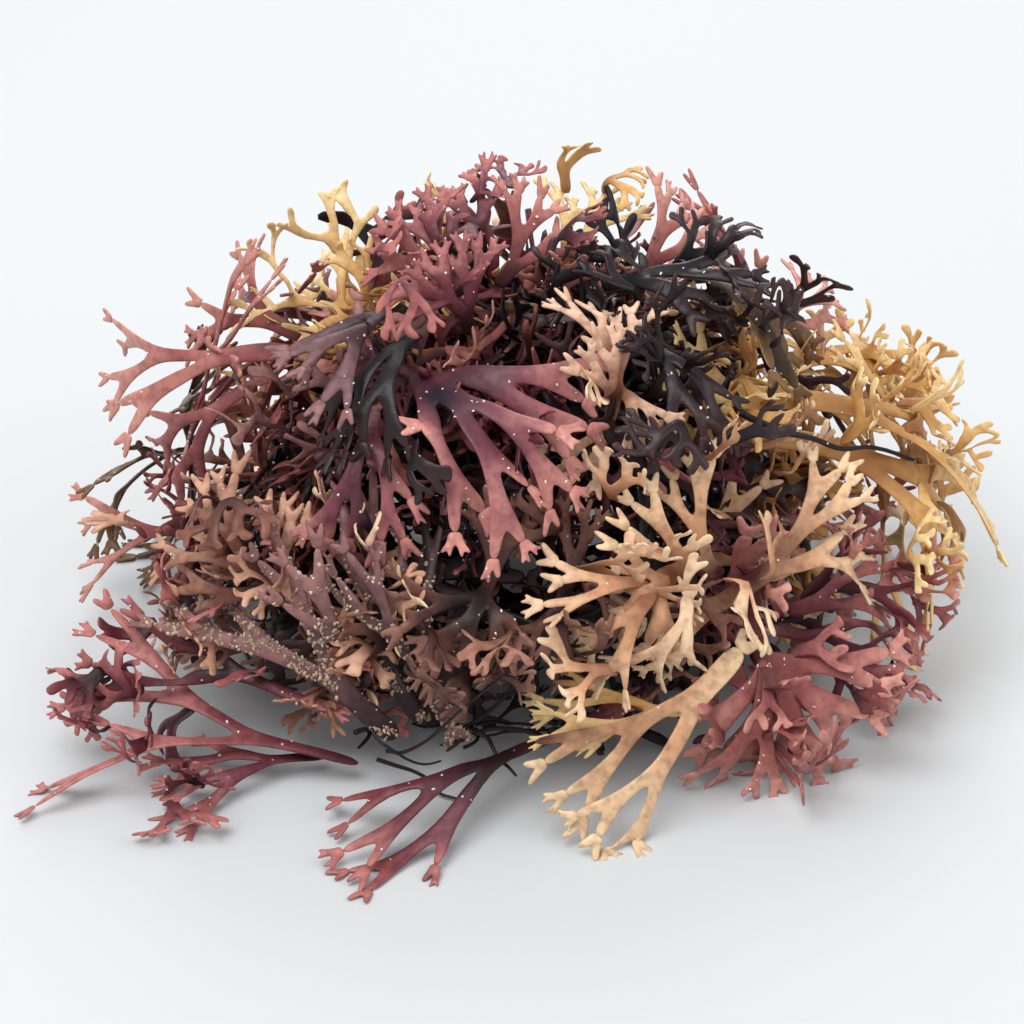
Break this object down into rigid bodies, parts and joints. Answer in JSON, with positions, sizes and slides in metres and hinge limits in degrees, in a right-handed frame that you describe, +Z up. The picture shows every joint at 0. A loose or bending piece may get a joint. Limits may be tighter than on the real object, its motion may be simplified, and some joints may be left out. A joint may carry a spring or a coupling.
{
  "type": "irish moss seaweed",
  "caption": "Dried Irish moss: a loose domed tangle of flattened, forking seaweed fronds in plum, rose, near black, tan and gold, lying on a flat surface.",
  "frame": {"origin": "bottom centre of the clump's box, on the surface that it lies on", "axes": "+Z up, +X to the right along the clump's width, -Y towards the side that shows best"},
  "size_m": [0.1858, 0.1634, 0.097],
  "materials": {
    "plum": "dull waxy dried seaweed, reddish purple",
    "rose": "dull waxy dried seaweed, pinkish red",
    "dusk": "dull waxy dried seaweed, dark violet grey",
    "black": "slightly glossy dried seaweed, all but black",
    "olive": "slightly glossy dried seaweed, dark olive brown",
    "umber": "dull dried seaweed, reddish brown",
    "tan": "waxy, slightly translucent dried seaweed, pinkish tan",
    "gold": "waxy, slightly translucent dried seaweed, golden yellow"
  },
  "bodies": {
    "root": {"plum_fan_centre": "plum", "plum_fan_left": "plum", "plum_fork_front": "plum", "plum_fork_left": "plum", "plum_fork_left_low": "plum", "plum_fork_left_upper": "plum", "plum_sprig_low": "plum", "plum_sprig_right": "plum", "rose_star_right": "plum", "dusk_fall_left": "plum", "rose_crown": "plum", "rose_crown_front": "plum", "rose_crown_left": "plum", "plum_back_2": "plum", "plum_back_6": "plum", "rose_crown_right": "rose", "rose_drape_right": "rose", "rose_horn_top": "rose", "rose_reach_left": "rose", "rose_tips_back_left": "rose", "rose_back_right": "rose", "dusk_reach_left": "rose", "rose_back_3": "rose", "rose_back_8": "rose", "sandy_blade_left": "dusk", "sandy_blade_middle": "dusk", "sandy_blade_right": "dusk", "dusk_band_far_left": "dusk", "dusk_back_4": "dusk", "black_band_left": "black", "black_fall_right": "black", "black_mane_right": "black", "black_rootlets": "black", "dark_inner_1": "black", "dark_inner_2": "black", "dark_inner_3": "black", "dark_inner_4": "black", "dark_inner_5": "black", "dark_inner_6": "black", "olive_mane_right": "olive", "olive_back_7": "olive", "umber_lace_middle": "umber", "umber_lace_right": "umber", "umber_tuft_high": "umber", "umber_tuft_left": "umber", "umber_tuft_low": "umber", "tan_curl_front": "tan", "tan_curl_low": "tan", "tan_spray_top": "tan", "rose_gold_sweep": "tan", "tan_back_5": "tan", "gold_back_1": "gold", "gold_back_left": "gold", "gold_comb_front": "gold", "gold_crest_left": "gold", "gold_crest_right": "gold", "gold_loop_top": "gold", "gold_shoulder": "gold", "gold_shoulder_back": "gold", "gold_skirt": "gold"}
  },
  "joints": []
}
